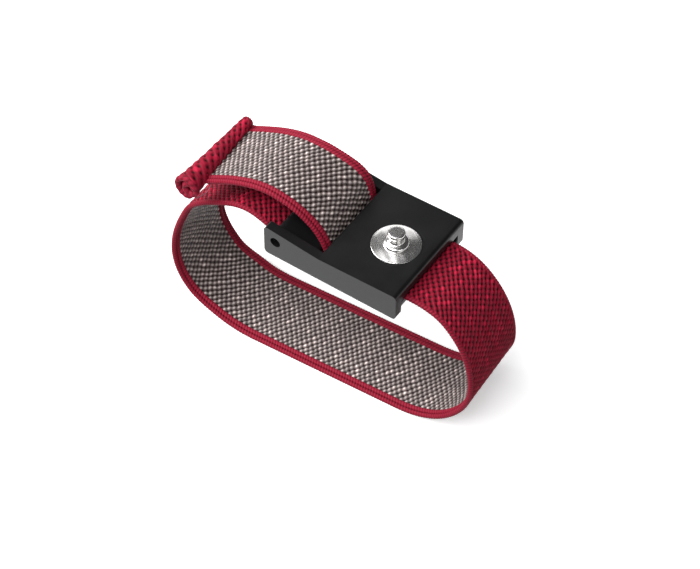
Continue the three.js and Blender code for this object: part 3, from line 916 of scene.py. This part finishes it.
def add_strip(name, route, replaced, faces=("outer", "inner"), sharp=1.5, offset=0.0, crest_scale=1.0):
    """A stretch of the band as four pieces: its burgundy and grey faces, and its two edges.

    faces name the burgundy face and the grey one. sharp and the last argument are for the burgundy one.
    """
    made = [
        finish_piece(
            knit_face(f"{name}_{faces[0]}_face", route, RED_HALF, 1, sharp, offset, crest_scale),
            BURGUNDY, replaced,
        ),
        finish_piece(
            knit_face(f"{name}_{faces[1]}_face", route, GREY_HALF, -1, GREY_SHARP, offset),
            SILVER, replaced,
        ),
    ]
    for edge, side in (("near", -1), ("far", 1)):
        made.append(finish_piece(
            selvedge(f"{name}_{edge}_edge", route, side, offset),
            EDGING, replaced,
        ))
    return made


def add_band():
    """The whole band. The clasp carries the loop and the roll, and the lever the fold; the rest rides on no body.
    """
    loop = through(LOOP_STATIONS)
    loop_pieces = add_strip("loop", loop, "band_loop")
    for piece in loop_pieces:
        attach(piece, "clasp")
    under = through(UNDER_STATIONS)
    under_pieces = add_strip("under_run", under, "band_loop", offset=loop.length)
    for piece in under_pieces:
        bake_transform(piece)
    fold_pieces = add_strip("fold", through(FOLD_STATIONS, drift=(BAND_DRIFT, math.inf)), "band_fold")
    for piece in fold_pieces:
        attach(piece, "lever")
    tail = through(TAIL_STATIONS, TAIL_SLANT, (BAND_DRIFT, DRIFT_REACH))
    tail_pieces = add_strip("tail", tail, "band_tail", ("under", "top"))
    for piece in tail_pieces:
        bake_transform(piece)
    # The roll's stitch tops are coloured darker than the rest of the band.
    roll_pieces = add_strip("roll", Curl(tail), "tail_end_roll", sharp=3.2, offset=tail.length, crest_scale=0.8)
    for piece in roll_pieces:
        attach(piece, "clasp")


def thread(name, points, radius):
    """A twisted thread through points, ring by ring, its three plies showing as ridges."""
    points = np.array(points, float)
    steps = np.hypot.reduce(np.diff(points, axis=0), axis=1)
    along = np.concatenate([[0], np.cumsum(steps)])
    fine = np.linspace(0, along[-1], round(along[-1] / 0.12))
    path = np.stack([np.interp(fine, along, column) for column in points.T], axis=-1)
    ahead = np.gradient(path, axis=0)
    ahead /= np.linalg.norm(ahead, axis=1, keepdims=True)
    side = np.cross(ahead, (0.2, 0.3, 1.0))
    side /= np.linalg.norm(side, axis=1, keepdims=True)
    above = np.cross(side, ahead)
    angle = np.linspace(0, 2 * math.pi, 12, endpoint=False)[None, :]
    ply = 0.5 + 0.5 * np.cos(3 * angle - 5.5 * fine[:, None])
    reach = radius * (0.82 + 0.18 * ply)
    rings = path[:, None] + side[:, None] * (reach * np.cos(angle))[..., None]
    rings += above[:, None] * (reach * np.sin(angle))[..., None]
    piece = sweep(name, rings)
    set_uv(piece, np.stack(np.broadcast_arrays(fine[:, None] / 10, angle / 10), axis=-1).reshape(-1, 2))
    set_floats(piece, "crest", ply)
    set_floats(piece, "tone", np.broadcast_to(0.6, ply.shape))
    return piece


def softened(points):
    """Points along a path, its corners cut off in three rounds."""
    points = np.array(points, float)
    for _ in range(3):
        low, high = points[:-1], points[1:]
        middle = np.stack([0.75 * low + 0.25 * high, 0.25 * low + 0.75 * high], axis=1).reshape(-1, 3)
        points = np.concatenate([points[:1], middle, points[-1:]])
    return points


def add_stitching():
    """The zigzag seam under the tail that holds the rolled end, and its loose end of thread."""
    tail = through(TAIL_STATIONS, TAIL_SLANT)
    corners = []
    turns, under = 19, 0.8
    for i in range(turns):
        across = (i - turns // 2) * STITCH_PITCH / 2
        reach = STITCH_REACH if i % 2 else STITCH_REACH / 2
        corners.append(tail.place(np.array(tail.length - reach), np.array(across), np.array(under)))
    seam = thread("roll_seam", softened(corners), 0.15)
    start = corners[0]
    hang = [start, start + (0.6, -1.5, -0.4), start + (0.2, -2.6, -1.4), start + (-1.9, -3.4, -3.6)]
    loose = thread("loose_end", softened(hang), 0.13)
    finish_piece(joined([seam, loose], "roll_seam"), THREAD, "roll_stitching", "clasp")


add_camera()
add_floor()
add_light()
add_shell()
add_lever()
add_pin()
add_snap()
dress("base_insert", PLASTIC, 0.15)
dress("contact_plate", STEEL, 0.1)
dress("snap_rivet", NICKEL, 0.08)
add_band()
add_stitching()
